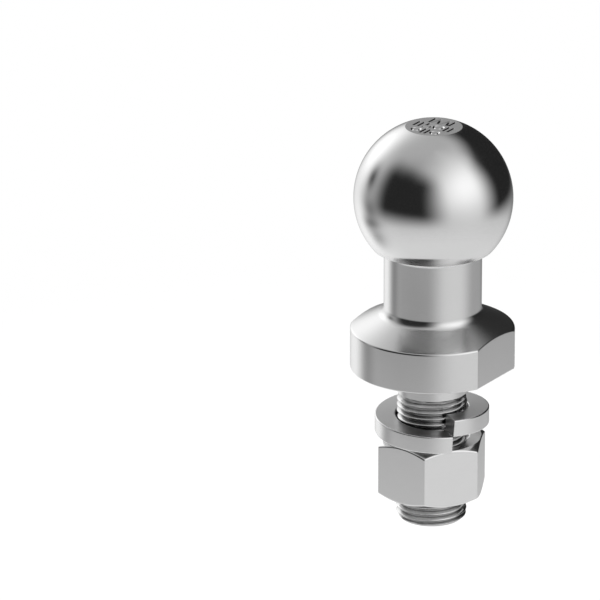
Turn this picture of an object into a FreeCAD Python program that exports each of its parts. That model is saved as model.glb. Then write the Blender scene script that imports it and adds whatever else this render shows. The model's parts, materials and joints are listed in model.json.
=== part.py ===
# Threaded tow ball with its split spring washer and hex nut.
#
# The stud is one forging: a 50 mm ball on a neck, a coned flange with two
# spanner flats, and a threaded shank. The washer is one turn of square bar,
# coiled left handed and cut through, so that it springs. The nut is a plain
# hexagon with its corners turned off at both ends. The thread's form is left
# out: the shank is as thick as the thread's crests, and the nut's bore clears
# it by a small play.
#
# Frame: millimetres, +Z up along the shank's axis towards the ball. The origin
# is the centre of the flange's underside, the seat that bears on the tow bar.
# The spanner flats face +X and -X.

import FreeCAD, Part
import math
import os
import Sketcher
from FreeCAD import Vector

# Driving sizes: name, value in millimetres or degrees, what it is
SIZES = [
    ("ball_diameter", 50.0, "coupling ball"),
    ("ball_centre_height", 56.0, "seat to the ball's centre"),
    ("ball_foot_drop", 16.65, "ball's centre down to the shoulder that ends the ball"),
    ("ball_lip_radius", 0.4, "rounded edge between ball and shoulder"),
    ("ball_root_radius", 1.5, "hollow corner between shoulder and neck"),
    ("top_flat_diameter", 18.0, "flat on top of the ball"),
    ("top_edge_radius", 0.3, "rounded edge of the flat"),
    ("neck_diameter", 30.8, "plain neck between ball and flange"),
    ("neck_root_radius", 2.8, "hollow corner between neck and cone"),
    ("flange_diameter", 51.8, "rim of the flange"),
    ("rim_height", 12.2, "straight height of the rim"),
    ("rim_edge_radius", 0.5, "rounded edge between rim and cone"),
    ("cone_slope", 34.0, "slope of the flange's top, from level"),
    ("flat_depth", 2.4, "how far each spanner flat is cut in from the rim"),
    ("seat_edge_chamfer", 0.4, "broken lower edge of the flange"),
    ("shank_diameter", 22.2, "plain shank, and the thread's crests"),
    ("shank_length", 50.8, "seat to the shank's end"),
    ("shank_root_radius", 0.5, "hollow corner between seat and shank"),
    ("plain_length", 8.2, "shank left plain under the seat"),
    ("thread_pitch", 2.0, "advance of the nut in one turn"),
    ("end_chamfer", 1.3, "lead in at the shank's end"),
    ("shank_showing", 8.6, "shank below the nut, as the nut stands"),
    ("nut_turn", -5.4, "turn of a nut corner from +X, as it stands"),
    ("nut_across_flats", 31.75, "width over the nut's flats"),
    ("nut_height", 18.8, "nut, face to face"),
    ("nut_face_diameter", 31.4, "circle left flat on each face of the nut"),
    ("nut_corner_slope", 32.0, "slope of the turned corners, from level"),
    ("nut_mouth_chamfer", 1.0, "lead in at each end of the nut's bore"),
    ("thread_clearance", 0.06, "play between shank and nut, at one side"),
    ("washer_bore", 23.0, "inside of the spring washer"),
    ("washer_width", 6.55, "washer bar, inside to outside"),
    ("washer_thickness", 5.5, "washer bar, top to bottom"),
    ("washer_edge_radius", 0.4, "rounded edges of the washer bar"),
    ("washer_cut_turn", -36.6, "turn of the washer's cut from +X, as it stands"),
    ("washer_cut_width", 0.3, "gap at the cut, on the outside"),
    ("washer_lift", 0.05, "play between washer and nut"),
]

doc = FreeCAD.newDocument("TowBall")
sheet = doc.addObject("Spreadsheet::Sheet", "sizes")
for row, (name, number, meaning) in enumerate(SIZES, start=1):
    sheet.set(f"A{row}", meaning)
    sheet.set(f"B{row}", str(number))
    sheet.setAlias(f"B{row}", name)
doc.recompute()

# Sizes that follow from the sheet, as rules that several features share
BALL_RADIUS = "sizes.ball_diameter / 2"
TOP_FLAT_RADIUS = "sizes.top_flat_diameter / 2"
TOP_HEIGHT = f"sizes.ball_centre_height + sqrt(({BALL_RADIUS})^2 - ({TOP_FLAT_RADIUS})^2)"
FOOT_HEIGHT = "(sizes.ball_centre_height - sizes.ball_foot_drop)"
FOOT_RADIUS = f"sqrt(({BALL_RADIUS})^2 - sizes.ball_foot_drop^2)"
NECK_RADIUS = "sizes.neck_diameter / 2"
FLANGE_RADIUS = "sizes.flange_diameter / 2"
NECK_FOOT = f"sizes.rim_height + ({FLANGE_RADIUS} - {NECK_RADIUS}) * tan(sizes.cone_slope)"
SHANK_RADIUS = "sizes.shank_diameter / 2"
THREAD_DEPTH = "(0.6134 * sizes.thread_pitch)"
RUN_OUT_WALL = f"({THREAD_DEPTH} * tan(30))"
FLAT_DISTANCE = f"({FLANGE_RADIUS} - sizes.flat_depth)"
NUT_FOOT = "(sizes.shank_showing - sizes.shank_length)"
NUT_TOP = f"({NUT_FOOT} + sizes.nut_height)"
NUT_BORE_RADIUS = f"{SHANK_RADIUS} + sizes.thread_clearance"
NUT_CORNER_RADIUS = "sizes.nut_across_flats / 2 / cos(30)"
NUT_FACE_RADIUS = "sizes.nut_face_diameter / 2"
CORNER_CUT_WIDTH = f"({NUT_CORNER_RADIUS} - {NUT_FACE_RADIUS})"
WASHER_INSIDE = "sizes.washer_bore / 2"
WASHER_OUTSIDE = f"({WASHER_INSIDE} + sizes.washer_width)"
WASHER_CUT_SHARE = f"sizes.washer_cut_width / (2 * pi * {WASHER_OUTSIDE})"

# How a sketch counts the points of a curve, and its own two axes
START, END, CENTRE = range(1, 4)
ACROSS_AXIS, UP_AXIS = -1, -2


def value(rule):
    """The number that a rule gives with the sheet as it is."""
    found = sheet.evalExpression(rule.replace("sizes.", ""))
    return float(getattr(found, "Value", found))


def new_body(label):
    body = doc.addObject("PartDesign::Body", label)
    body.Label = label
    return body


def origin_item(body, role):
    return [item for item in body.Origin.OriginFeatures if item.Role == role][0]


def new_sketch(body, name, role):
    sketch = body.newObject("Sketcher::SketchObject", name)
    sketch.AttachmentSupport = (origin_item(body, role), "")
    sketch.MapMode = "FlatFace"
    return sketch


def hold(sketch, kind, place, name, rule):
    """Dimensions one point or curve of a sketch and ties the dimension to its rule."""
    index = sketch.addConstraint(Sketcher.Constraint(kind, *place, value(rule)))
    sketch.renameConstraint(index, name)
    sketch.setExpression(f"Constraints.{name}", rule)


def draw_outline(sketch, corners, arc_from=None, arc_centre=None):
    """Draws a closed outline through corners and dimensions them.

    A corner is (name, across rule, up rule, held), where held says which of its
    two places get a dimension. A place whose rule is "0" is put on the axis
    instead. The side after the corner arc_from is an arc about arc_centre that
    runs clockwise, and every other side is straight.
    """
    count = len(corners)
    points = [Vector(value(across), value(up), 0) for name, across, up, held in corners]
    sides, begins, ends = [], [], []
    for i, corner in enumerate(corners):
        point, after = points[i], points[(i + 1) % count]
        if corner[0] == arc_from:
            middle = Vector(value(arc_centre[0]), value(arc_centre[1]), 0)
            circle = Part.Circle(middle, Vector(0, 0, 1), (point - middle).Length)
            low = math.atan2(after.y - middle.y, after.x - middle.x)
            high = math.atan2(point.y - middle.y, point.x - middle.x)
            sides.append(sketch.addGeometry(Part.ArcOfCircle(circle, low, high)))
            begins.append(END)
            ends.append(START)
        else:
            sides.append(sketch.addGeometry(Part.LineSegment(point, after)))
            begins.append(START)
            ends.append(END)
    for i in range(count):
        after = (i + 1) % count
        join = ("Coincident", sides[i], ends[i], sides[after], begins[after])
        sketch.addConstraint(Sketcher.Constraint(*join))
    for i, (name, across, up, held) in enumerate(corners):
        place = (sides[i], begins[i])
        if across == "0":
            sketch.addConstraint(Sketcher.Constraint("PointOnObject", *place, UP_AXIS))
        elif "across" in held:
            hold(sketch, "DistanceX", place, f"{name}_across", across)
        if up == "0":
            sketch.addConstraint(Sketcher.Constraint("PointOnObject", *place, ACROSS_AXIS))
        elif "up" in held:
            hold(sketch, "DistanceY", place, f"{name}_up", up)
    return sides


def revolve(body, kind, name, sketch):
    """Turns a sketch once about the body's own vertical axis."""
    feature = body.newObject(kind, name)
    feature.Profile = sketch
    feature.ReferenceAxis = (sketch, ["V_Axis"])
    feature.Angle = 360
    doc.recompute()
    return feature


def rings(shape, radius, height):
    """The names of the circular edges about Z of one radius at one height."""
    found = []
    for i, edge in enumerate(shape.Edges, start=1):
        curve = edge.Curve
        if not isinstance(curve, Part.Circle):
            continue
        on_axis = math.hypot(curve.Center.x, curve.Center.y) < 1e-4
        if on_axis and abs(curve.Radius - radius) < 1e-4 and abs(curve.Center.z - height) < 1e-4:
            found.append(f"Edge{i}")
    return found


def soften(body, kind, name, radius, height, rule):
    """Rounds or breaks the circular edge at a radius and height, hollow or proud."""
    base = body.Tip
    feature = body.newObject(kind, name)
    feature.Base = (base, rings(base.Shape, value(radius), value(height)))
    size = "Radius" if kind == "PartDesign::Fillet" else "Size"
    setattr(feature, size, value(rule))
    feature.setExpression(size, rule)
    doc.recompute()
    return feature


def mirror(body, name, feature, role):
    """Repeats a feature on the far side of one of the body's own planes."""
    copy = body.newObject("PartDesign::Mirrored", name)
    copy.Originals = [feature]
    copy.MirrorPlane = (origin_item(body, role), [""])
    body.Tip = copy
    doc.recompute()
    return copy


def make_tow_ball():
    """Ball, neck, flange and shank are turned as one, then the flats are milled."""
    body = new_body("tow_ball")
    root_radius = f"{SHANK_RADIUS} - {THREAD_DEPTH}"
    run_out_foot = "-(sizes.plain_length + sizes.thread_pitch)"
    profile = new_sketch(body, "stud_profile", "XZ_Plane")
    sides = draw_outline(
        profile,
        [
            ("top_middle", "0", TOP_HEIGHT, ""),
            ("top_edge", TOP_FLAT_RADIUS, TOP_HEIGHT, "across"),
            ("ball_foot", FOOT_RADIUS, FOOT_HEIGHT, "up"),
            ("neck_top", NECK_RADIUS, FOOT_HEIGHT, "across up"),
            ("neck_foot", NECK_RADIUS, NECK_FOOT, "across up"),
            ("rim_top", FLANGE_RADIUS, "sizes.rim_height", "across up"),
            ("rim_foot", FLANGE_RADIUS, "0", "across"),
            ("shank_top", SHANK_RADIUS, "0", "across"),
            ("plain_foot", SHANK_RADIUS, "-sizes.plain_length", "across up"),
            ("run_out_top", root_radius, f"-(sizes.plain_length + {RUN_OUT_WALL})", "across up"),
            ("run_out_foot", root_radius, f"{run_out_foot} + {RUN_OUT_WALL}", "across up"),
            ("thread_top", SHANK_RADIUS, run_out_foot, "across up"),
            ("shank_foot", SHANK_RADIUS, "-sizes.shank_length", "across up"),
            ("shank_middle", "0", "-sizes.shank_length", "up"),
        ],
        arc_from="top_edge",
        arc_centre=("0", "sizes.ball_centre_height"),
    )
    ball = sides[1]
    profile.addConstraint(Sketcher.Constraint("Horizontal", sides[0]))
    profile.addConstraint(Sketcher.Constraint("PointOnObject", ball, CENTRE, UP_AXIS))
    hold(profile, "DistanceY", (ball, CENTRE), "ball_centre_up", "sizes.ball_centre_height")
    hold(profile, "Radius", (ball,), "ball_radius", BALL_RADIUS)
    revolve(body, "PartDesign::Revolution", "stud_turned", profile)

    fillet, chamfer = "PartDesign::Fillet", "PartDesign::Chamfer"
    soften(body, fillet, "top_edge_round", TOP_FLAT_RADIUS, TOP_HEIGHT, "sizes.top_edge_radius")
    soften(body, fillet, "ball_lip_round", FOOT_RADIUS, FOOT_HEIGHT, "sizes.ball_lip_radius")
    soften(body, fillet, "ball_root", NECK_RADIUS, FOOT_HEIGHT, "sizes.ball_root_radius")
    soften(body, fillet, "neck_root", NECK_RADIUS, NECK_FOOT, "sizes.neck_root_radius")
    soften(body, fillet, "rim_edge", FLANGE_RADIUS, "sizes.rim_height", "sizes.rim_edge_radius")
    soften(body, chamfer, "seat_edge", FLANGE_RADIUS, "0", "sizes.seat_edge_chamfer")
    soften(body, fillet, "shank_root", SHANK_RADIUS, "0", "sizes.shank_root_radius")
    soften(body, chamfer, "shank_end", SHANK_RADIUS, "-sizes.shank_length", "sizes.end_chamfer")

    # The cutter takes all that lies beyond the flat and clears the cone above the rim
    flat = new_sketch(body, "flat_cutter", "XY_Plane")
    draw_outline(
        flat,
        [
            ("near_left", FLAT_DISTANCE, f"-({FLANGE_RADIUS})", "across up"),
            ("far_left", "sizes.flange_diameter", f"-({FLANGE_RADIUS})", "across up"),
            ("far_right", "sizes.flange_diameter", FLANGE_RADIUS, "across up"),
            ("near_right", FLAT_DISTANCE, FLANGE_RADIUS, "across up"),
        ],
    )
    before = body.Tip.Shape.Volume
    cut = body.newObject("PartDesign::Pocket", "spanner_flat")
    cut.Profile = flat
    cut.Reversed = True
    cut.setExpression("Length", f"sizes.rim_height + 2 * sizes.flat_depth * tan(sizes.cone_slope)")
    doc.recompute()
    one = body.Tip.Shape.Volume
    mirror(body, "far_spanner_flat", cut, "YZ_Plane")
    both = body.Tip.Shape.Volume
    if not before > one > both:
        raise RuntimeError("a spanner flat cut nothing")
    return body


def make_spring_washer():
    """One turn of bar, coiled left handed and rising by its own thickness."""
    body = new_body("spring_washer")
    round_off = "sizes.washer_edge_radius"
    across = (WASHER_INSIDE, WASHER_OUTSIDE)
    up = ("0", "sizes.washer_thickness")
    bar = new_sketch(body, "bar_section", "XZ_Plane")
    radius = value(round_off)
    low, high = value(across[0]), value(across[1])
    top = value(up[1])
    # the four straight sides, anticlockwise from the lower one, then the corners between them
    straight = [
        (Vector(low + radius, 0, 0), Vector(high - radius, 0, 0)),
        (Vector(high, radius, 0), Vector(high, top - radius, 0)),
        (Vector(high - radius, top, 0), Vector(low + radius, top, 0)),
        (Vector(low, top - radius, 0), Vector(low, radius, 0)),
    ]
    sides = [bar.addGeometry(Part.LineSegment(*ends)) for ends in straight]
    middles = [
        Vector(high - radius, radius, 0),
        Vector(high - radius, top - radius, 0),
        Vector(low + radius, top - radius, 0),
        Vector(low + radius, radius, 0),
    ]
    corners = []
    for i, middle in enumerate(middles):
        circle = Part.Circle(middle, Vector(0, 0, 1), radius)
        begin = math.radians(90 * i - 90)
        corners.append(bar.addGeometry(Part.ArcOfCircle(circle, begin, begin + math.radians(90))))
    for i in range(4):
        after = (i + 1) % 4
        for join in (
            ("Tangent", sides[i], END, corners[i], START),
            ("Tangent", corners[i], END, sides[after], START),
            ("Vertical" if i % 2 else "Horizontal", sides[i]),
        ):
            bar.addConstraint(Sketcher.Constraint(*join))
        if i:
            bar.addConstraint(Sketcher.Constraint("Equal", corners[0], corners[i]))
    hold(bar, "Radius", (corners[0],), "edge_radius", round_off)
    bar.addConstraint(Sketcher.Constraint("PointOnObject", sides[0], START, ACROSS_AXIS))
    hold(bar, "DistanceX", (sides[3], START), "inside", across[0])
    hold(bar, "DistanceX", (sides[1], START), "outside", across[1])
    hold(bar, "DistanceY", (sides[2], START), "thickness", up[1])

    coil = body.newObject("PartDesign::AdditiveHelix", "coil")
    coil.Profile = bar
    coil.ReferenceAxis = (bar, ["V_Axis"])
    coil.Mode = "pitch-turns-angle"
    coil.LeftHanded = True
    coil.setExpression("Pitch", "sizes.washer_thickness")
    coil.setExpression("Turns", f"1 - {WASHER_CUT_SHARE}")
    doc.recompute()
    body.setExpression("Placement.Base.z", f"{NUT_TOP} + sizes.washer_lift")
    body.setExpression("Placement.Rotation.Angle", "sizes.washer_cut_turn * 1 deg")
    return body


def make_hex_nut():
    """A hexagon about its own middle, with its corners turned off at both ends."""
    body = new_body("hex_nut")
    corners = []
    for i in range(6):
        across = f"{NUT_CORNER_RADIUS} * cos({60 * i})"
        up = f"{NUT_CORNER_RADIUS} * sin({60 * i})"
        corners.append((f"corner_{i}", across, up, "across up"))
    hexagon = new_sketch(body, "hexagon", "XY_Plane")
    draw_outline(hexagon, corners)
    blank = body.newObject("PartDesign::Pad", "blank")
    blank.Profile = hexagon
    blank.SideType = "Symmetric"
    blank.setExpression("Length", "sizes.nut_height")
    doc.recompute()

    # The tool leaves a flat circle on the face and slopes down past the corners
    top = "sizes.nut_height / 2"
    drop = f"2 * {CORNER_CUT_WIDTH} * tan(sizes.nut_corner_slope)"
    tool = new_sketch(body, "corner_tool", "XZ_Plane")
    draw_outline(
        tool,
        [
            ("face_edge", NUT_FACE_RADIUS, top, "across up"),
            ("far_top", f"{NUT_FACE_RADIUS} + 2 * {CORNER_CUT_WIDTH}", top, "across up"),
            ("far_foot", f"{NUT_FACE_RADIUS} + 2 * {CORNER_CUT_WIDTH}", f"{top} - {drop}", "across up"),
        ],
    )
    before = body.Tip.Shape.Volume
    turned = revolve(body, "PartDesign::Groove", "turned_corners", tool)
    one = body.Tip.Shape.Volume
    mirror(body, "lower_turned_corners", turned, "XY_Plane")
    both = body.Tip.Shape.Volume
    if not before > one > both:
        raise RuntimeError("the nut's corners weren't turned off")

    hole = new_sketch(body, "bore_circle", "XY_Plane")
    circle = Part.Circle(Vector(0, 0, 0), Vector(0, 0, 1), value(NUT_BORE_RADIUS))
    ring = hole.addGeometry(circle)
    hole.addConstraint(Sketcher.Constraint("Coincident", ring, CENTRE, ACROSS_AXIS, START))
    hold(hole, "Radius", (ring,), "bore_radius", NUT_BORE_RADIUS)
    bore = body.newObject("PartDesign::Pocket", "bore")
    bore.Profile = hole
    bore.Type = "ThroughAll"
    bore.SideType = "Symmetric"
    doc.recompute()
    for name, height in (("top_mouth", top), ("lower_mouth", f"-({top})")):
        soften(body, "PartDesign::Chamfer", name, NUT_BORE_RADIUS, height, "sizes.nut_mouth_chamfer")

    body.setExpression("Placement.Base.z", f"{NUT_FOOT} + {top}")
    body.setExpression("Placement.Rotation.Angle", "sizes.nut_turn * 1 deg")
    return body


def check(bodies):
    """Stops if any feature failed or any piece isn't one closed, valid solid."""
    for item in doc.Objects:
        if "Invalid" in item.State or "Error" in item.State:
            raise RuntimeError(f"{item.Label} failed: {item.State}")
    for body in bodies:
        shape = body.Shape
        if shape.isNull() or not shape.isValid() or len(shape.Solids) != 1:
            raise RuntimeError(f"{body.Label} isn't one valid solid")


bodies = [make_tow_ball(), make_spring_washer(), make_hex_nut()]
doc.recompute()
check(bodies)
os.makedirs("parts", exist_ok=True)
for body in bodies:
    body.Shape.exportStep(f"parts/{body.Label}.step")
    box = body.Shape.optimalBoundingBox(False)
    print(
        f"{body.Label}: {body.Shape.Volume:.0f} mm3, x {box.XMin:.2f} to {box.XMax:.2f},"
        f" y {box.YMin:.2f} to {box.YMax:.2f}, z {box.ZMin:.2f} to {box.ZMax:.2f}"
    )
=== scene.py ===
# %% [markdown]
# A threaded tow ball, dressed for a catalogue picture.
# The real thing is three pieces of plated steel: a forged and turned stud with a ball at its top,
# a split spring washer and a hexagon nut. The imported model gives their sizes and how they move.
# It keeps the thread plain, so this script builds each piece again with its real thread,
# its small rounded edges and its finish, in the same place and in metres.

# %% Load the frame
import json
import math

import bmesh
import bpy
import numpy as np
from mathutils import Matrix, Vector

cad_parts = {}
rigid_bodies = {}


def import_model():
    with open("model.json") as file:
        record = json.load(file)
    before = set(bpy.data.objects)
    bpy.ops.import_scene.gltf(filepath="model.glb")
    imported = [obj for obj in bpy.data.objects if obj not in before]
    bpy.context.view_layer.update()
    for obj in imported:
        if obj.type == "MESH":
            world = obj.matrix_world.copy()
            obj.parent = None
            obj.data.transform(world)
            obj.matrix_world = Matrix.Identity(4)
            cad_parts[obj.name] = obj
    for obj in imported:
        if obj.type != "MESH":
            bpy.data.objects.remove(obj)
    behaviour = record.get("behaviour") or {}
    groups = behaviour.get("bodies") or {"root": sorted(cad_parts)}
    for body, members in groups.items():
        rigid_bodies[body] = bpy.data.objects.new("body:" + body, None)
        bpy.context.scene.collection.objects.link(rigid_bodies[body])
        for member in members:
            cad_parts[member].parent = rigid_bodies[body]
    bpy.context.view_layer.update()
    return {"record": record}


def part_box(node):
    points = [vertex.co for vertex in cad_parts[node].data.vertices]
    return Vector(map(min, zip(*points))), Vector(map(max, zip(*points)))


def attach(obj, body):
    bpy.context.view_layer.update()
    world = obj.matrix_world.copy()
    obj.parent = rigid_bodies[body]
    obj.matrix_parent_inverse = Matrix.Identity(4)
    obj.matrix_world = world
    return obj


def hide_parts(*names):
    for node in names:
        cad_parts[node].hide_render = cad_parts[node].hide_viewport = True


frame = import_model()
scene = bpy.context.scene

# %% [markdown]
# Most sizes are read from the frame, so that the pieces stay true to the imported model.
# A mount's place and size give the ball's centre, the flats and the shank. The boxes of the
# three nodes give heights and diameters. Only what neither of them says is written as a number.
# Among those, the shoulder, the hollows at both ends of the neck and the height and slope of the
# cone are measured more finely than in the solids, and differ from them by under a millimetre.

# %% Sizes
MM = 0.001
mounts = {mount["name"]: mount for mount in frame["record"]["mounts"]}
stud_low, stud_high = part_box("tow_ball")
washer_low, washer_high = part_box("spring_washer")
nut_low, nut_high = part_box("hex_nut")

BALL_CENTRE = mounts["ball"]["pos_m"][2]
BALL_RADIUS = stud_high.x
TOP = stud_high.z
FOOT = BALL_CENTRE - 16.2 * MM
BALL_EDGE_ROUND = 0.35 * MM
BALL_ROOT_ROUND = 2.0 * MM
NECK_RADIUS = 15.4 * MM
NECK_ROOT_ROUND = 3.3 * MM
FLANGE_RADIUS = stud_high.y
FLAT_DISTANCE = mounts["spanner_flat_right"]["pos_m"][0]
RIM_HEIGHT = 13.0 * MM
CONE_SLOPE = math.radians(26.5)
NECK_FOOT = RIM_HEIGHT + (FLANGE_RADIUS - NECK_RADIUS) * math.tan(CONE_SLOPE)
RIM_ROUND = 0.75 * MM
FLAT_EDGE_ROUND = 0.45 * MM
FLAT_CORNER_ROUND = 0.3 * MM
SEAT_EDGE_ROUND = 0.4 * MM
SHANK_RADIUS = mounts["shank"]["dims"]["r_mm"] * MM
SHANK_ROOT_ROUND = 0.5 * MM
SHANK_END = stud_low.z
PLAIN_END = -8.2 * MM
END_CHAMFER = 1.3 * MM

PITCH = 2.0 * MM
DEPTH_SHARE = 0.6134  # of the pitch, in a 60 degree thread
THREAD_DEPTH = DEPTH_SHARE * PITCH
THREAD_PLAY = 0.06 * MM

NUT_TOP, NUT_FOOT = nut_high.z, nut_low.z
NUT_APOTHEM = math.hypot(*mounts["nut_flat_right"]["pos_m"][:2])
NUT_TURN = math.atan2(mounts["nut_flat_right"]["pos_m"][1], mounts["nut_flat_right"]["pos_m"][0])
NUT_FACE_RADIUS = 15.7 * MM
NUT_CORNER_SLOPE = math.radians(32.0)
NUT_MOUTH = 1.0 * MM
NUT_EDGE_ROUND = 0.2 * MM
NUT_CHAMFER_ROUND = 0.7 * MM
NUT_CORNER_ROUND = 0.6 * MM

WASHER_INSIDE = 11.5 * MM
WASHER_OUTSIDE = washer_high.x
WASHER_THICKNESS = 5.5 * MM
WASHER_CUT_TURN = math.radians(-36.6)
WASHER_CUT_WIDTH = 0.3 * MM
WASHER_EDGE_ROUND = 0.4 * MM

COLUMNS = 192  # round the axis
BALL_ROWS = 58  # from the flat's edge to the shoulder
print(f"ball {2000 * BALL_RADIUS:.1f} mm, nut {2000 * NUT_APOTHEM:.2f} mm over its flats")

# %% [markdown]
# Shaders and Geometry Nodes are both networks of small boxes joined by wires. Written out box by
# box they are hard to read, so two small classes let an ordinary expression build the network:
# a Wire is one value in it, and arithmetic on a Wire adds the Math box that works it out.

# %% Wires and the bench they are joined on
class Wire:
    """One value in a node tree. Arithmetic on it adds Math nodes."""

    def __init__(self, bench, socket):
        self.bench = bench
        self.socket = socket

    def __add__(self, other):
        return self.bench.maths("ADD", self, other)

    __radd__ = __add__

    def __mul__(self, other):
        return self.bench.maths("MULTIPLY", self, other)

    __rmul__ = __mul__

    def __sub__(self, other):
        return self.bench.maths("SUBTRACT", self, other)

    def __rsub__(self, other):
        return self.bench.maths("SUBTRACT", other, self)

    def __truediv__(self, other):
        return self.bench.maths("DIVIDE", self, other)

    def least(self, other):
        return self.bench.maths("MINIMUM", self, other)

    def most(self, other):
        return self.bench.maths("MAXIMUM", self, other)

    def size(self):
        return self.bench.maths("ABSOLUTE", self)

    def beside(self, name):
        """Another output of the node that this value comes from."""
        return Wire(self.bench, self.socket.node.outputs[name])

    def ease(self, low, high):
        """0 below low and 1 above high, with a soft rise between them."""
        settings = {"interpolation_type": "SMOOTHSTEP"}
        sockets = {"Value": self, "From Min": low, "From Max": high}
        return self.bench.node("ShaderNodeMapRange", settings, sockets)


class Bench:
    """A node tree, with the one method that adds every node to it."""

    def __init__(self, tree):
        self.tree = tree

    def node(self, kind, settings=None, sockets=None, out=0):
        made = self.tree.nodes.new(kind)
        for name, setting in (settings or {}).items():
            setattr(made, name, setting)
        for name, value in (sockets or {}).items():
            if isinstance(value, Wire):
                self.tree.links.new(value.socket, made.inputs[name])
            else:
                made.inputs[name].default_value = value
        return Wire(self, made.outputs[out]) if made.outputs else made

    def maths(self, operation, *values):
        return self.node("ShaderNodeMath", {"operation": operation}, dict(enumerate(values)))

    def split(self, vector):
        """The three parts of a vector."""
        x = self.node("ShaderNodeSeparateXYZ", None, {0: vector})
        return x, x.beside("Y"), x.beside("Z")

    def vector(self, x, y, z):
        return self.node("ShaderNodeCombineXYZ", None, {"X": x, "Y": y, "Z": z})


# %% [markdown]
# Everything that is turned on a lathe is a section swept round an axis. A section is a list of
# (radius, height) points, and its corners are never sharp: each one is drawn as a small arc,
# because it is these arcs that catch the light in a picture of polished metal.

# %% Sections
def arc(centre, radius, begin, end, steps):
    """Points on an arc in a section, angles in radians from level outwards."""
    turns = np.linspace(begin, end, steps + 1)
    return [(centre[0] + radius * math.cos(t), centre[1] + radius * math.sin(t)) for t in turns]


def rounded(corners, steps=5):
    """A path through (radius, height, rounding) corners, with an arc in place of each corner."""
    points = [corners[0][:2]]
    for before, (r, z, rounding), after in zip(corners, corners[1:], corners[2:]):
        corner = Vector((r, z))
        back = (Vector(before[:2]) - corner).normalized()
        on = (Vector(after[:2]) - corner).normalized()
        half = back.angle(on) / 2
        middle = corner + (back + on).normalized() * (rounding / math.sin(half))
        first = (corner + back * (rounding / math.tan(half)) - middle).normalized()
        last = (corner + on * (rounding / math.tan(half)) - middle).normalized()
        for k in range(steps + 1):
            points.append(tuple(middle + first.slerp(last, k / steps) * rounding))
    points.append(corners[-1][:2])
    return points


def ball_section(steps):
    """From the flat's edge, over the ball and round its lip to the shoulder."""
    f = BALL_EDGE_ROUND
    middles, leans = [], []
    for height in (TOP - f, FOOT + f):
        across = math.sqrt((BALL_RADIUS - f) ** 2 - (height - BALL_CENTRE) ** 2)
        middles.append((across, height))
        leans.append(math.atan2(height - BALL_CENTRE, across))
    top = arc(middles[0], f, math.pi / 2, leans[0], 4)
    ball = arc((0, BALL_CENTRE), BALL_RADIUS, leans[0], leans[1], steps)
    lip = arc(middles[1], f, leans[1], -math.pi / 2, 5)
    return top + ball[1:-1] + lip


def surface(name, points):
    """A closed band of quads through points[row][column]. Rows run down the outside."""
    rows, columns = points.shape[:2]
    index = np.arange(rows * columns).reshape(rows, columns)
    here, on = index, np.roll(index, -1, axis=1)
    quads = np.stack([here[:-1], here[1:], on[1:], on[:-1]], axis=-1).reshape(-1, 4)
    mesh = bpy.data.meshes.new(name)
    mesh.from_pydata(points.reshape(-1, 3).tolist(), [], quads.tolist())
    return mesh


# %% [markdown]
# The stud is one forging: ball, neck, flange and shank. A plain lathe sweep would lose the two
# spanner flats, so each of the 192 columns round the axis gets a section of its own, which
# reaches as far as the flange's outline does in that direction. Three columns close together
# at each corner of the outline give the small radius that a milled edge has after polishing.

# %% The flange's outline, column by column
def corner_fillet(reach_flat, reach_round, rounding):
    """Angle and reach where a flat meets its round rim: on the flat, midway, on the rim."""
    x = reach_flat - rounding
    y = math.sqrt((reach_round - rounding) ** 2 - x * x)
    lean = math.atan2(y, x)
    found = [(x + rounding * math.cos(t), y + rounding * math.sin(t)) for t in (0, lean / 2, lean)]
    return [(math.atan2(b, a), math.hypot(a, b)) for a, b in found]


def flange_outline():
    """Angle and reach of each column. The flats face +X and -X."""
    quarter = COLUMNS // 4
    fillet = corner_fillet(FLAT_DISTANCE, FLANGE_RADIUS, FLAT_CORNER_ROUND)
    flat_columns = round(quarter * fillet[0][0] / (math.pi / 2)) - 1
    flat = [fillet[0][0] * k / flat_columns for k in range(flat_columns)]
    rim_columns = quarter - flat_columns - 2
    rim = [
        fillet[2][0] + (math.pi / 2 - fillet[2][0]) * k / rim_columns
        for k in range(1, rim_columns + 1)
    ]
    first = [(t, FLAT_DISTANCE / math.cos(t)) for t in flat] + fillet
    first += [(t, FLANGE_RADIUS) for t in rim]
    second = [(math.pi - t, reach) for t, reach in first[-2::-1]]
    half = first + second
    return half[:-1] + [(t + math.pi, reach) for t, reach in half[:-1]]


outline = flange_outline()
print(f"flange outline: {len(outline)} columns")


# %% The stud from its flat top to the end of its plain shank
def flange_section(reach):
    """Neck, cone, rim, seat and plain shank in one column, as far out as reach."""
    on_rim = max(0.0, (reach - FLAT_DISTANCE) / (FLANGE_RADIUS - FLAT_DISTANCE)) ** 8
    top_round = FLAT_EDGE_ROUND + (RIM_ROUND - FLAT_EDGE_ROUND) * on_rim
    foot_round = FLAT_EDGE_ROUND + (SEAT_EDGE_ROUND - FLAT_EDGE_ROUND) * on_rim
    cone_foot = RIM_HEIGHT + (FLANGE_RADIUS - reach) * math.tan(CONE_SLOPE)
    return rounded(
        [
            (math.sqrt(BALL_RADIUS**2 - (BALL_CENTRE - FOOT) ** 2) - BALL_EDGE_ROUND, FOOT, 0),
            (NECK_RADIUS, FOOT, BALL_ROOT_ROUND),
            (NECK_RADIUS, NECK_FOOT, NECK_ROOT_ROUND),
            (reach, cone_foot, top_round),
            (reach, 0, foot_round),
            (SHANK_RADIUS, 0, SHANK_ROOT_ROUND),
            (SHANK_RADIUS, PLAIN_END, 0),
        ]
    )


def spread(section, reach, level, warped):
    """Turns one column's section into points. On the flange it bends to its outline's angle."""
    mid_rim = RIM_HEIGHT / 2
    mid_neck = (NECK_FOOT + FOOT) / 2
    placed = []
    for r, z in section:
        inner = NECK_RADIUS if z > mid_rim else SHANK_RADIUS
        share = (r - inner) / (reach - inner) if z < mid_neck else 0.0
        angle = level + (warped - level) * min(1.0, max(0.0, share))
        placed.append((r * math.cos(angle), r * math.sin(angle), z))
    return placed


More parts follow.
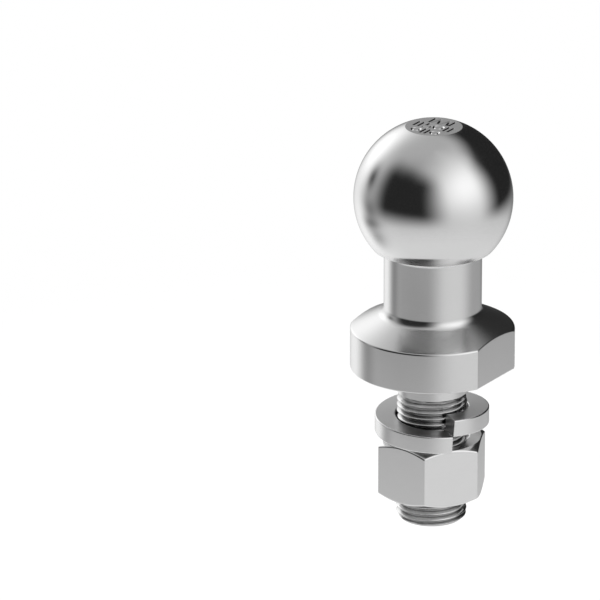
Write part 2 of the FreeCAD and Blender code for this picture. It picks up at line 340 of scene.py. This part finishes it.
def stud_points():
    columns = []
    for k, (angle, reach) in enumerate(outline):
        level = 2 * math.pi * k / COLUMNS
        section = ball_section(BALL_ROWS) + flange_section(reach)[1:]
        columns.append(spread(section, reach, level, angle))
    return np.array(columns).transpose(1, 0, 2)


body_points = stud_points()
stud_body = surface("stud_body", body_points)
print(f"stud body: {len(stud_body.vertices)} points in {body_points.shape[0]} rows")

# %% [markdown]
# A thread is the clearest case of a shape that follows a rule, so Geometry Nodes make it.
# A flat grid is rolled into a tube whose rows run along the helix, and each row's radius comes
# from its place in the 60 degree profile: crest, flank or root. Rows that would pass an end of
# the thread are held at that end and welded into its ring. The same tree makes the inside of the
# nut, where the radius is the larger of thread and mouth instead of the smaller.

# %% A tree with named inputs, and the mesh it gives
def new_tree(name, inputs):
    """A geometry tree and a wire for each named number that goes into it."""
    tree = bpy.data.node_groups.new(name, "GeometryNodeTree")
    for label in inputs:
        tree.interface.new_socket(label, in_out="INPUT", socket_type="NodeSocketFloat")
    tree.interface.new_socket("Geometry", in_out="OUTPUT", socket_type="NodeSocketGeometry")
    bench = Bench(tree)
    entry = bench.node("NodeGroupInput")
    return bench, {label: entry.beside(label) for label in inputs}


def finish_tree(bench, geometry, material):
    """Ends a tree in real geometry with its material."""
    real = bench.node("GeometryNodeRealizeInstances", None, {"Geometry": geometry})
    painted = bench.node("GeometryNodeSetMaterial", None, {"Geometry": real, "Material": material})
    bench.node("NodeGroupOutput", None, {0: painted})


def grown(name, tree, values):
    """The mesh that a tree makes with these values."""
    holder = bpy.data.objects.new(name, bpy.data.meshes.new(name))
    scene.collection.objects.link(holder)
    modifier = holder.modifiers.new(name, "NODES")
    modifier.node_group = tree
    for item in tree.interface.items_tree:
        if item.in_out == "INPUT":
            modifier[item.identifier] = values[item.name]
    evaluated = holder.evaluated_get(bpy.context.evaluated_depsgraph_get())
    mesh = bpy.data.meshes.new_from_object(evaluated)
    bpy.data.objects.remove(holder)
    return mesh


# %% The thread tree
ROWS_PER_TURN = 12
CREST_SHARE, ROOT_SHARE = 1 / 8, 1 / 6
GROOVE_SLOPE = math.tan(math.radians(30.0))
END_WELD = 0.001 * MM


def thread_tree(name, inside, material):
    """A threaded wall from High to Low. Inside is for a nut, outside for a shank."""
    sizes = ["High", "Low", "Crest radius", "Depth", "Pitch", "Chamfer"]
    grid_sizes = ["Turn", "Zero", "Start", "Rows", "Step"]
    bench, given = new_tree(name, sizes + grid_sizes)
    high, low, crest, depth, pitch = (given[label] for label in sizes[:5])
    grid = bench.node(
        "GeometryNodeMeshGrid",
        None,
        {"Size X": 1.0, "Size Y": 1.0, "Vertices X": COLUMNS + 1, "Vertices Y": given["Rows"]},
    )
    across, up, _ = bench.split(bench.node("GeometryNodeInputPosition"))
    lap = across + 0.5 + given["Turn"] / (2 * math.pi)
    row = (up + 0.5) * (given["Rows"] - 1)
    height = (given["Start"] + row * given["Step"] + lap * pitch).least(high).most(low)

    # 0 on the middle of a crest, 1 on the middle of a root
    phase = bench.maths("FRACT", (height - given["Zero"]) / pitch - lap)
    away = (phase * 2 - 1).size()
    sunk = ((away - CREST_SHARE) / (1 - CREST_SHARE - ROOT_SHARE)).most(0.0).least(1.0)
    thread = crest - sunk * depth
    past, left = high - height, height - low
    if inside:
        mouth = crest + given["Chamfer"]
        radius = thread.most(mouth - past).most(mouth - left)
    else:
        # the groove turned away above the thread, one pitch wide, and the chamfered end
        groove = crest - (past.least(pitch - past) / GROOVE_SLOPE).least(depth).most(0.0)
        above_thread = bench.maths("LESS_THAN", past, pitch / 2)
        radius = groove.least(thread + above_thread * depth)
        radius = radius.least(crest - given["Chamfer"] + left)

    turn = lap * (2 * math.pi)
    x = radius * bench.maths("COSINE", turn)
    y = radius * bench.maths("SINE", turn)
    rolled = bench.node(
        "GeometryNodeSetPosition",
        None,
        {"Geometry": grid, "Position": bench.vector(x, y, height)},
    )
    wall = bench.node(
        "GeometryNodeMergeByDistance", None, {"Geometry": rolled, "Distance": END_WELD}
    )
    if inside:
        wall = bench.node("GeometryNodeFlipFaces", None, {"Mesh": wall})
    finish_tree(bench, wall, material)
    return bench.tree


def threaded(name, inside, material, high, low, crest, chamfer, turn):
    """The threaded wall between two heights. Both threads of a screwed pair share one zero."""
    step = PITCH / ROWS_PER_TURN
    zero = THREAD_ZERO * PITCH
    start = zero + math.floor((low - 2 * PITCH - zero) / step) * step
    values = {
        "High": high,
        "Low": low,
        "Crest radius": crest,
        "Depth": THREAD_DEPTH,
        "Pitch": PITCH,
        "Chamfer": chamfer,
        "Turn": turn,
        "Zero": zero,
        "Start": start,
        "Rows": math.ceil((high + PITCH - start) / step) + 1,
        "Step": step,
    }
    return grown(name, thread_tree(name, inside, material), values)


# %% The shank's thread
THREAD_ZERO = 0.5

stud_plate = bpy.data.materials.new("plated_stud")
washer_plate = bpy.data.materials.new("plated_washer")
nut_plate = bpy.data.materials.new("plated_nut")

shank_thread = threaded(
    "shank_thread", False, stud_plate, PLAIN_END, SHANK_END, SHANK_RADIUS, END_CHAMFER, 0.0
)
print(f"shank thread: {len(shank_thread.polygons)} faces")

# %% [markdown]
# The flat on top of the ball is stamped with plain marks: the ball's size in millimetres, a 5
# and a ring, between two rows of strokes, peaks and rings. A punch leaves a V-shaped groove,
# whose two walls catch the light and the dark of the room, so the marks are cut as real geometry.
# Cutting them from a small separate disc keeps the Boolean quick, and the disc then closes the
# top. Disc and marks are drawn in millimetres and made metres after the cut, because the solver
# loses faces where lengths are as small as these are in metres.

# %% The marks as cutters, in millimetres with the flat at height 0
MARK_DEPTH = 0.4
MARK_REACH = 0.2
MARK_SPREAD = MARK_DEPTH + MARK_REACH
ROW_HEIGHT = 3.7
ROW_STEP = 5.0


def solid_object(name, fill):
    """An object with the mesh that fill(bm) makes."""
    bm = bmesh.new()
    fill(bm)
    mesh = bpy.data.meshes.new(name)
    bm.to_mesh(mesh)
    bm.free()
    made = bpy.data.objects.new(name, mesh)
    scene.collection.objects.link(made)
    return made


def stroke(begin, end):
    """A groove between two points: its floor is a line and all its walls slope at 45 degrees."""

    def fill(bm):
        a, b = Vector(begin), Vector(end)
        on = (b - a).normalized() * MARK_SPREAD
        aside = Vector((-on.y, on.x))
        floor = [bm.verts.new((*p, -MARK_DEPTH)) for p in (a, b)]
        corners = (a - on - aside, b + on - aside, b + on + aside, a - on + aside)
        brim = [bm.verts.new((*p, MARK_REACH)) for p in corners]
        bm.faces.new(brim)
        bm.faces.new((floor[0], floor[1], brim[1], brim[0]))
        bm.faces.new((floor[1], floor[0], brim[3], brim[2]))
        bm.faces.new((floor[0], brim[0], brim[3]))
        bm.faces.new((floor[1], brim[2], brim[1]))
        bmesh.ops.recalc_face_normals(bm, faces=bm.faces)

    return solid_object("stroke", fill)


def ring(x, y, radius):
    """A round groove with the same walls."""

    def fill(bm):
        around = 20
        turns = [2 * math.pi * k / around for k in range(around)]
        inner, floor = (-MARK_SPREAD, MARK_REACH), (0.0, -MARK_DEPTH)
        outer = (MARK_SPREAD, MARK_REACH)
        rows = []
        for outwards, level in (inner, floor, outer):
            reach = radius + outwards
            places = [(x + reach * math.cos(t), y + reach * math.sin(t), level) for t in turns]
            rows.append([bm.verts.new(place) for place in places])
        for this, following in zip(rows, rows[1:] + rows[:1]):
            for k in range(around):
                on = (k + 1) % around
                bm.faces.new((this[k], following[k], following[on], this[on]))
        bmesh.ops.recalc_face_normals(bm, faces=bm.faces)

    return solid_object("ring", fill)


def figure(shape, x, y):
    """A figure drawn as strokes through points given in half heights from its middle."""
    half = ROW_HEIGHT / 2
    places = [(x + across * half, y + up * half) for across, up in shape]
    return [stroke(begin, end) for begin, end in zip(places, places[1:])]


def marks():
    """Three rows that run along X, from one spanner flat towards the other."""
    five = [(0.55, 1.0), (-0.5, 1.0), (-0.55, 0.15), (0.35, 0.15)]
    five += [(0.6, -0.4), (0.3, -1.0), (-0.6, -1.0)]
    upright = [(0.0, 1.0), (0.0, -1.0)]
    peak = [(-0.6, -1.0), (0.0, 1.0), (0.6, -1.0)]
    made = figure(five, -1.7, 0.0) + [ring(1.7, 0.0, ROW_HEIGHT * 0.42)]
    for side in (-1, 1):
        made += figure(upright, side * 4.6, 0.0) + figure(upright, side * 6.2, 0.0)
        made += figure(peak, side * 1.6, ROW_STEP) + figure(upright, side * 3.6, ROW_STEP)
        made += figure(upright, side * 0.8, -ROW_STEP)
        made.append(ring(side * 3.4, -ROW_STEP, ROW_HEIGHT * 0.36))
    return made


# %% The marked disc that closes the top
DISC_RADIUS = ball_section(1)[0][0] / MM
DISC_DEPTH = 2.0


def top_disc():
    """A disc with the marks cut in, of which only the marked face is kept."""

    def fill(bm):
        turns = [2 * math.pi * k / COLUMNS for k in range(COLUMNS)]
        round_points = [(DISC_RADIUS * math.cos(t), DISC_RADIUS * math.sin(t)) for t in turns]
        top, foot = ([bm.verts.new((x, y, z)) for x, y in round_points] for z in (0.0, -DISC_DEPTH))
        bm.faces.new(top)
        bm.faces.new(reversed(foot))
        for k in range(COLUMNS):
            on = (k + 1) % COLUMNS
            bm.faces.new((top[k], foot[k], foot[on], top[on]))

    disc = solid_object("top_disc", fill)
    cutters = bpy.data.collections.new("marks")
    scene.collection.children.link(cutters)
    for cutter in marks():
        scene.collection.objects.unlink(cutter)
        cutters.objects.link(cutter)
    cut = disc.modifiers.new("marks", "BOOLEAN")
    cut.operand_type = "COLLECTION"
    cut.collection = cutters
    cut.solver = "EXACT"
    evaluated = disc.evaluated_get(bpy.context.evaluated_depsgraph_get())
    mesh = bpy.data.meshes.new_from_object(evaluated)
    for cutter in list(cutters.objects):
        bpy.data.objects.remove(cutter)
    bpy.data.collections.remove(cutters)
    bpy.data.objects.remove(disc)

    bm = bmesh.new()
    bm.from_mesh(mesh)
    low = [v for v in bm.verts if v.co.z < -DISC_DEPTH / 2]
    bmesh.ops.delete(bm, geom=low, context="VERTS")
    bm.transform(Matrix.Translation((0, 0, TOP)) @ Matrix.Scale(MM, 4))
    bm.to_mesh(mesh)
    bm.free()
    return mesh


marked_top = top_disc()
print(f"marked top: {len(marked_top.polygons)} faces")

# %% [markdown]
# Blender joins the parts of a piece by their shared rings: where two rings lie on each other,
# Merge by Distance makes them one. Shading is then smooth across the small arcs, but the broad
# faces should stay flat right up to them. The Weighted Normal modifier does that, because it
# lets the larger of two faces say which way their shared edge faces.

# %% Joining and shading a piece
SHARP = math.radians(38.0)


def joined(name, meshes, material, body, node):
    """One closed piece from meshes that share rings, shaded and tied to its body."""
    bm = bmesh.new()
    for mesh in meshes:
        bm.from_mesh(mesh)
    bmesh.ops.remove_doubles(bm, verts=bm.verts, dist=2 * END_WELD)
    holes = [edge for edge in bm.edges if edge.is_boundary]
    if holes:
        bmesh.ops.holes_fill(bm, edges=holes, sides=0)
    bm.normal_update()
    open_edges = sum(1 for edge in bm.edges if not edge.is_manifold)
    volume = bm.calc_volume(signed=True)
    triangles = sum(len(face.verts) - 2 for face in bm.faces)
    mesh = bpy.data.meshes.new(name)
    bm.to_mesh(mesh)
    bm.free()
    print(f"{name}: {triangles} triangles, {volume * 1e9:.0f} cubic mm, {open_edges} open edges")

    mesh.materials.clear()
    mesh.materials.append(material)
    for polygon in mesh.polygons:
        polygon.material_index = 0
    mesh.shade_smooth()
    mesh.set_sharp_from_angle(angle=SHARP)
    piece = bpy.data.objects.new(name, mesh)
    scene.collection.objects.link(piece)
    weighted = piece.modifiers.new("weighted_normals", "WEIGHTED_NORMAL")
    weighted.keep_sharp = True
    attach(piece, body)
    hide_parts(node)
    return piece


joined("stud", [stud_body, marked_top, shank_thread], stud_plate, "stud", "tow_ball")

# %% [markdown]
# A hexagon nut is a slice of six-sided bar whose corners are turned off at both ends, which
# leaves the curved line that rises towards the middle of each side. That line needs no
# drawing: each column round the nut reaches as far as the hexagon does there, and the cone
# of the turning tool takes the more off its top, the further it reaches.

# %% The nut
def hexagon_outline():
    """Angle and reach of each column, from the middle of one side all round."""
    half = COLUMNS // 12
    on_corner = 2
    side_end = NUT_APOTHEM * math.tan(math.pi / 6) - NUT_CORNER_ROUND * math.tan(math.pi / 6)
    first = []
    for k in range(half - on_corner + 1):
        along = side_end * k / (half - on_corner)
        first.append((math.atan2(along, NUT_APOTHEM), math.hypot(along, NUT_APOTHEM)))
    for k in range(1, on_corner + 1):
        lean = math.pi / 6 * k / on_corner
        x = NUT_APOTHEM - NUT_CORNER_ROUND + NUT_CORNER_ROUND * math.cos(lean)
        y = side_end + NUT_CORNER_ROUND * math.sin(lean)
        first.append((math.atan2(y, x), math.hypot(x, y)))
    side = first + [(math.pi / 3 - t, reach) for t, reach in first[-2:0:-1]]
    return [(t + side_number * math.pi / 3, r) for side_number in range(6) for t, r in side]


def nut_section(reach):
    """From the upper mouth over one side to the lower mouth."""
    mouth = SHANK_RADIUS + THREAD_PLAY + NUT_MOUTH
    drop = (reach - NUT_FACE_RADIUS) * math.tan(NUT_CORNER_SLOPE)
    return rounded(
        [
            (mouth, NUT_TOP, 0),
            (NUT_FACE_RADIUS, NUT_TOP, NUT_EDGE_ROUND),
            (reach, NUT_TOP - drop, NUT_CHAMFER_ROUND),
            (reach, NUT_FOOT + drop, NUT_CHAMFER_ROUND),
            (NUT_FACE_RADIUS, NUT_FOOT, NUT_EDGE_ROUND),
            (mouth, NUT_FOOT, 0),
        ]
    )


def nut_points():
    mouth = SHANK_RADIUS + THREAD_PLAY + NUT_MOUTH
    columns = []
    for k, (angle, reach) in enumerate(hexagon_outline()):
        level = 2 * math.pi * k / COLUMNS
        placed = []
        for r, z in nut_section(reach):
            turn = NUT_TURN + level + (angle - level) * (r - mouth) / (reach - mouth)
            placed.append((r * math.cos(turn), r * math.sin(turn), z))
        columns.append(placed)
    return np.array(columns).transpose(1, 0, 2)


nut_thread = threaded(
    "nut_thread",
    True,
    nut_plate,
    NUT_TOP,
    NUT_FOOT,
    SHANK_RADIUS + THREAD_PLAY,
    NUT_MOUTH,
    NUT_TURN,
)
joined("nut", [surface("nut_body", nut_points()), nut_thread], nut_plate, "nut", "hex_nut")

# %% [markdown]
# The spring washer is one turn of square bar wound as a left-handed coil and cut through, so
# that its ends bite when a right-handed nut is turned back. A bar that follows a path is
# what Curve to Mesh does: a line is bent into the coil, and a rectangle with rounded corners
# is drawn along it. The Bevel modifier then breaks the two sharp edges left by the cut.

# %% The washer
WASHER_STATIONS = 181
WASHER_BREAK = 0.12 * MM


def washer_tree(material):
    labels = ["Middle radius", "Width", "Thickness", "Rise", "Turns", "Begin", "Foot", "Rounding"]
    bench, given = new_tree("coiled_bar", labels)
    line = bench.node("GeometryNodeCurvePrimitiveLine")
    stations = bench.node(
        "GeometryNodeResampleCurve", None, {"Curve": line, "Count": WASHER_STATIONS}
    )
    share = bench.node("GeometryNodeSplineParameter")
    turn = given["Begin"] - share * given["Turns"] * (2 * math.pi)
    x = given["Middle radius"] * bench.maths("COSINE", turn)
    y = given["Middle radius"] * bench.maths("SINE", turn)
    z = given["Foot"] + given["Thickness"] / 2 + share * given["Rise"]
    coil = bench.node(
        "GeometryNodeSetPosition", None, {"Geometry": stations, "Position": bench.vector(x, y, z)}
    )
    level = bench.node("GeometryNodeSetCurveNormal", {"mode": "Z_UP"}, {"Curve": coil})
    bar = bench.node(
        "GeometryNodeCurvePrimitiveQuadrilateral",
        None,
        {"Width": given["Width"], "Height": given["Thickness"]},
    )
    rounded_bar = bench.node(
        "GeometryNodeFilletCurve",
        {"mode": "POLY"},
        {"Curve": bar, "Count": 6, "Radius": given["Rounding"]},
    )
    swept = bench.node(
        "GeometryNodeCurveToMesh",
        None,
        {"Curve": level, "Profile Curve": rounded_bar, "Fill Caps": True},
    )
    finish_tree(bench, swept, material)
    return bench.tree


cut_share = WASHER_CUT_WIDTH / (2 * math.pi * WASHER_OUTSIDE)
washer_height = washer_high.z - washer_low.z
coil = grown(
    "coil",
    washer_tree(washer_plate),
    {
        "Middle radius": (WASHER_INSIDE + WASHER_OUTSIDE) / 2,
        "Width": WASHER_OUTSIDE - WASHER_INSIDE,
        "Thickness": WASHER_THICKNESS,
        "Rise": washer_height - WASHER_THICKNESS,
        "Turns": 1 - cut_share,
        "Begin": WASHER_CUT_TURN,
        "Foot": washer_low.z,
        "Rounding": WASHER_EDGE_ROUND,
    },
)
washer = joined("washer", [coil], washer_plate, "washer", "spring_washer")
broken = washer.modifiers.new("broken_ends", "BEVEL")
broken.width, broken.segments = WASHER_BREAK, 2
broken.limit_method, broken.angle_limit = "ANGLE", math.radians(70.0)
washer.modifiers.move(1, 0)
low = [min(v.co[i] for v in coil.vertices) for i in range(3)]
high = [max(v.co[i] for v in coil.vertices) for i in range(3)]
print("washer box, mm:", [round(1000 * v, 2) for v in low + high])

# %% [markdown]
# All three pieces are bright plated steel. Plating copies whatever lies under it, so the
# differences are in the steel: the ball was polished and keeps a faint waviness, neck, cone and
# rim keep the rings of the turning tool, the flats keep the lines of the mill, and the nut's
# sides keep the lines of the drawn bar. Each of these is a height in metres that feeds Bump.

# %% Plated steel
def noise(bench, place, scale, detail=2.0, roughness=0.5):
    """Noise between -1 and 1 at a number of lumps to the metre."""
    sockets = {"Vector": place, "Scale": scale, "Detail": detail, "Roughness": roughness}
    return bench.node("ShaderNodeTexNoise", None, sockets) * 2 - 1


def plated(material, tone, roughness, relief, wear):
    """Plated metal whose height, wear and painted shade are worked out from the place on the piece.
    """
    material.use_nodes = True
    bench = Bench(material.node_tree)
    bench.tree.nodes.clear()
    place = bench.node("ShaderNodeTexCoord", out=3)
    x, y, z = bench.split(place)
    radius = bench.maths("SQRT", x * x + y * y)
    height = relief(bench, place, x, y, z, radius)
    cloud = noise(bench, place, 90.0, 3.0)
    grain = noise(bench, place, 1400.0, 2.0)
    # The second value darkens the base colour: random stains, and on the stud's thread painted
    # shade in its grooves.
    duller, stain_and_painted_shade = wear(bench, place, x, y, z, radius)
    rough = cloud * 0.018 + grain * 0.012 + roughness + duller
    bright = (cloud * 0.012 + tone) * (1 - stain_and_painted_shade)
    grey = bench.node("ShaderNodeCombineColor", None, {0: bright, 1: bright, 2: bright})
    bump = bench.node("ShaderNodeBump", None, {"Strength": 1.0, "Distance": 1.0, "Height": height})
    metal = bench.node(
        "ShaderNodeBsdfPrincipled",
        None,
        {
            "Base Color": grey,
            "Metallic": 1.0,
            "Roughness": rough.most(0.04),
            "Normal": bump,
        },
    )
    bench.node("ShaderNodeOutputMaterial", None, {"Surface": metal})


def rings(bench, radius, z, per_metre):
    """Rings left by a turning tool: they change outwards and upwards but not round the axis."""
    return noise(bench, bench.vector(radius, z, 0.0), per_metre, 1.0)


# %% The three finishes
MICRON = 1e-6


def stud_relief(bench, place, x, y, z, radius):
    """Polished ball, turned neck and flange, milled flats, and a thread torn a little."""
    on_ball = z.ease(FOOT - 0.1 * MM, FOOT + 0.1 * MM)
    on_flat = x.size().ease(FLAT_DISTANCE - 0.1 * MM, FLAT_DISTANCE - 0.02 * MM)
    waviness = noise(bench, place, 170.0, 1.0) * (2.2 * MICRON)
    polish = noise(bench, place, 2200.0, 1.0) * (0.1 * MICRON)
    turned = rings(bench, radius, z, 2600.0) * (0.55 * MICRON) + waviness * 0.6
    milled = noise(bench, bench.vector(z, y * 0.02, 0.0), 3000.0, 1.0) * (0.45 * MICRON)
    torn = noise(bench, bench.vector(x, y, z * 2), 520.0, 3.0, 0.6) * (9 * MICRON)
    torn = torn * (1 - z.ease(PLAIN_END - 0.5 * MM, PLAIN_END))
    flange = turned * (1 - on_flat) + milled * on_flat + torn
    return (waviness + polish) * on_ball + (flange + polish) * (1 - on_ball)


def stud_wear_and_painted_shade(bench, place, x, y, z, radius):
    """Cone, shoulder and top are a little dull; the thread is greyer, and painted shade darkens its
    grooves most.
    """
    on_thread = 1 - z.ease(PLAIN_END - 0.5 * MM, PLAIN_END)
    on_top = z.ease(TOP - 0.5 * MM, TOP - 0.1 * MM)
    on_cone = z.ease(RIM_HEIGHT, RIM_HEIGHT + 0.6 * MM)
    on_cone = on_cone * (1 - z.ease(NECK_FOOT, NECK_FOOT + 2 * MM))
    on_shoulder = z.ease(FOOT - 2 * MM, FOOT - 1 * MM)
    on_shoulder = on_shoulder * (1 - z.ease(FOOT, FOOT + 3.5 * MM))
    # Painted shade: the thread's base colour gets darker towards the roots of its grooves, where
    # shade falls.
    groove = 1 - radius.ease(SHANK_RADIUS - THREAD_DEPTH, SHANK_RADIUS)
    stain = noise(bench, bench.vector(x, y, z * 3), 260.0, 3.0, 0.6) * 0.22
    duller = on_thread * 0.08 + on_top * 0.05 + on_cone * 0.11 + on_shoulder * 0.20
    return duller, on_thread * (groove * groove * 0.46 + 0.05 + stain)


def nut_relief(bench, place, x, y, z, radius):
    """Lines along the sides, rings on the turned ends and a faint unevenness."""
    on_end = (z - (NUT_TOP + NUT_FOOT) / 2).size()
    on_end = on_end.ease((NUT_TOP - NUT_FOOT) / 2 - 0.1 * MM, (NUT_TOP - NUT_FOOT) / 2 - 0.01 * MM)
    drawn = noise(bench, bench.vector(x, y, z * 0.02), 2400.0, 1.0) * (0.5 * MICRON)
    turned = rings(bench, radius, z, 2600.0) * (0.6 * MICRON)
    uneven = noise(bench, place, 240.0, 2.0) * (3.0 * MICRON)
    return drawn * (1 - on_end) + turned * on_end + uneven


def washer_relief(bench, place, x, y, z, radius):
    """Bar that was rolled and coiled: lines along it and a rougher skin than the others."""
    rolled = noise(bench, bench.vector(radius, z, 0.0), 2200.0, 1.0) * (0.7 * MICRON)
    skin = noise(bench, place, 700.0, 3.0) * (1.2 * MICRON)
    return rolled + skin


def handled(bench, place, x, y, z, radius):
    """Small dull patches where the piece was handled, and no change of tone."""
    return noise(bench, place, 420.0, 2.0).most(0.2) * 0.04 - 0.008, 0.0


def washer_wear(bench, place, x, y, z, radius):
    """All but the outer wall is duller, which brings the greys nearer those of the photograph."""
    on_wall = radius.ease(WASHER_OUTSIDE - WASHER_EDGE_ROUND, WASHER_OUTSIDE)
    patches, same = handled(bench, place, x, y, z, radius)
    return patches + (1 - on_wall) * 0.16, same


plated(stud_plate, 0.65, 0.11, stud_relief, stud_wear_and_painted_shade)
plated(washer_plate, 0.67, 0.14, washer_relief, washer_wear)
plated(nut_plate, 0.69, 0.15, nut_relief, handled)
print("finishes:", [m.name for m in (stud_plate, washer_plate, nut_plate)])

# %% [markdown]
# Bright metal shows the room more than itself, so the room is most of the picture. A
# photographer of chrome sets black and grey boards round a white tent: they give the ball its
# dark patches and its form. Here the tent is the world. A board or a soft light in it is an angle
# round the object and an angle up, with soft edges, seen from the camera's own bearing. Where
# they hang and how bright they are was fitted, until the greys on ball, neck and rim came near
# those of the photograph. Only mirrored rays meet them. Matt surfaces get an even tent, and
# the camera sees plain white.

# %% Where the camera stands
CAMERA_TURN = math.radians(-57.0)
CAMERA_RISE = math.radians(20.3)
CAMERA_DISTANCE = 2.3
AIM_ASIDE, AIM_UP = -41.62 * MM, 21.8 * MM
toward = Vector((math.cos(CAMERA_TURN), math.sin(CAMERA_TURN), 0.0))
right = Vector((-toward.y, toward.x, 0.0))
aim = right * AIM_ASIDE + Vector((0.0, 0.0, AIM_UP))
back = toward * math.cos(CAMERA_RISE) + Vector((0.0, 0.0, math.sin(CAMERA_RISE)))

lens = bpy.data.cameras.new("camera")
lens.lens, lens.sensor_width = 440.0, 36.0
lens.clip_start, lens.clip_end = 0.05, 50.0
camera = bpy.data.objects.new("camera", lens)
camera.location = aim + back * CAMERA_DISTANCE
camera.rotation_euler = (-back).to_track_quat("-Z", "Y").to_euler()
scene.collection.objects.link(camera)
scene.camera = camera
print("camera at", [round(v, 3) for v in camera.location])

# %% The tent, its boards and its soft lights
DEGREE = math.pi / 180
world = bpy.data.worlds.new("tent")
scene.world = world
world.use_nodes = True
tent = Bench(world.node_tree)
tent.tree.nodes.clear()
east, north, up = tent.split(tent.node("ShaderNodeTexCoord"))
rise = tent.maths("ARCSINE", up.most(-1.0).least(1.0)) / DEGREE


def off_bearing(bearing):
    """Degrees round the object between this direction and a bearing from the camera."""
    turn = CAMERA_TURN + bearing * DEGREE
    ahead = east * math.cos(turn) + north * math.sin(turn)
    aside = north * math.cos(turn) - east * math.sin(turn)
    return tent.maths("ARCTAN2", aside, ahead) / DEGREE


def glow(bearing, height, half_width, half_height):
    """A spot that fades evenly from 1 in its middle."""
    across, along = off_bearing(bearing) / half_width, (rise - height) / half_height
    return tent.maths("EXPONENT", (across * across + along * along) * -1)


def past(angle, side):
    """0 before a soft side and 1 past it. A side is its place and its softness in degrees."""
    place, soft = side
    return angle.ease(place - soft, place + soft)


def board(bearing, left, right, low, high, lean):
    """1 on a board and 0 beside it, with four soft sides. Its right side may lean."""
    aside = off_bearing(bearing)
    leaning = aside - (rise - BOARD_MIDDLE) * lean
    return past(aside, left) * (1 - past(leaning, right)) * past(rise, low) * (1 - past(rise, high))


CEILING, LOWER_TENT, BOARD_BLACK = 0.471, 0.807, 0.018
FADE_FROM, FADE_TO = -63.7, 3.7
BRIGHTER = 1.23
BOARD_MIDDLE = 16.0
# How bright each light and how dark each card is in its middle, and where it hangs
soft_lights = [
    (0.71, glow(53.1, 25.9, 50.4, 37.7)),
    (0.913, glow(-143.9, 17.3, 28.4, 26.1)),
    (0.70, glow(-124.4, -36.0, 35.4, 21.5)),
]
grey_cards = [
    (0.852, glow(-111.3, 10.6, 10.7, 13.2)),
    (0.695, glow(-104.5, -16.3, 18.9, 13.1)),
    (0.729, glow(-109.6, -40.8, 24.7, 11.0)),
    (0.703, glow(-109.2, -28.5, 22.0, 6.0)),
    (0.900, glow(-48.0, 30.5, 31.9, 24.8)),
    (0.400, glow(163.0, -20.0, 16.0, 16.0)),
]
black_boards = [
    board(-44.0, (-45.9, 18.0), (46.0, 24.1), (-18.5, 13.3), (45.7, 15.3), -0.135),
    board(135.0, (-47.6, 22.5), (44.9, 15.9), (-18.5, 8.7), (53.1, 15.2), -0.29),
]
level = LOWER_TENT + rise.ease(FADE_FROM, FADE_TO) * (CEILING - LOWER_TENT)
for brightness, light in soft_lights:
    level = level + light * brightness
for darkness, card in grey_cards:
    level = level * (1 - card * darkness)
for black in black_boards:
    level = level * (1 - black) + black * BOARD_BLACK
# A small light stands before the upper corner of the right-hand board
corner_light = glow(94.5, 47.4, 17.3, 10.6) * 0.168
level = (level + corner_light) * BRIGHTER

ray = tent.node("ShaderNodeLightPath")
seen = ray.beside("Is Camera Ray")
mirrored = ray.beside("Is Glossy Ray").most(ray.beside("Is Transmission Ray"))
EVEN_TENT = 0.75
strength = (EVEN_TENT * (1 - mirrored) + level * mirrored) * (1 - seen) + seen
backdrop = tent.node("ShaderNodeBackground", None, {"Color": (1, 1, 1, 1), "Strength": strength})
tent.node("ShaderNodeOutputWorld", None, {"Surface": backdrop})

# %% [markdown]
# The floor is a pale disc below the lowest place that the nut can travel to. It takes the
# object's shadow, and fades out some way off, where the tent takes over without a line.

# %% The floor
FLOOR_LEVEL = -92.0 * MM
FLOOR_SOLID, FLOOR_GONE = 60 * MM, 360 * MM
FLOOR_TONE = 0.86
MIRRORED_SHARE = 0.45
OWN_LIGHT_SEEN, OWN_LIGHT_MIRRORED = 0.42, 0.28


def floor_disc(bm):
    bmesh.ops.create_circle(bm, cap_ends=True, radius=1.2 * FLOOR_GONE, segments=96)
    bm.transform(Matrix.Translation((0, 0, FLOOR_LEVEL)))


floor = solid_object("floor", floor_disc)
pale = bpy.data.materials.new("pale_floor")
pale.use_nodes = True
bench = Bench(pale.node_tree)
bench.tree.nodes.clear()
x, y, _ = bench.split(bench.node("ShaderNodeTexCoord", out=3))
fade = 1 - bench.maths("SQRT", x * x + y * y).ease(FLOOR_SOLID, FLOOR_GONE)
ray = bench.node("ShaderNodeLightPath")
mirrored = ray.beside("Is Glossy Ray")
own_light = ray.beside("Is Camera Ray") * OWN_LIGHT_SEEN + mirrored * OWN_LIGHT_MIRRORED
floor_colour = (FLOOR_TONE, FLOOR_TONE, FLOOR_TONE, 1)
card = bench.node("ShaderNodeBsdfDiffuse", None, {"Color": floor_colour})
lit = bench.node("ShaderNodeEmission", None, {"Color": own_light, "Strength": 1.0})
both = bench.node("ShaderNodeAddShader", None, {0: card, 1: lit})
clear = bench.node("ShaderNodeBsdfTransparent")
solid = fade * (1 - mirrored * (1 - MIRRORED_SHARE))
shown = bench.node("ShaderNodeMixShader", None, {0: solid, 1: clear, 2: both})
bench.node("ShaderNodeOutputMaterial", None, {"Surface": shown})
floor.data.materials.append(pale)

# %% Colours as written
scene.view_settings.view_transform = "Standard"
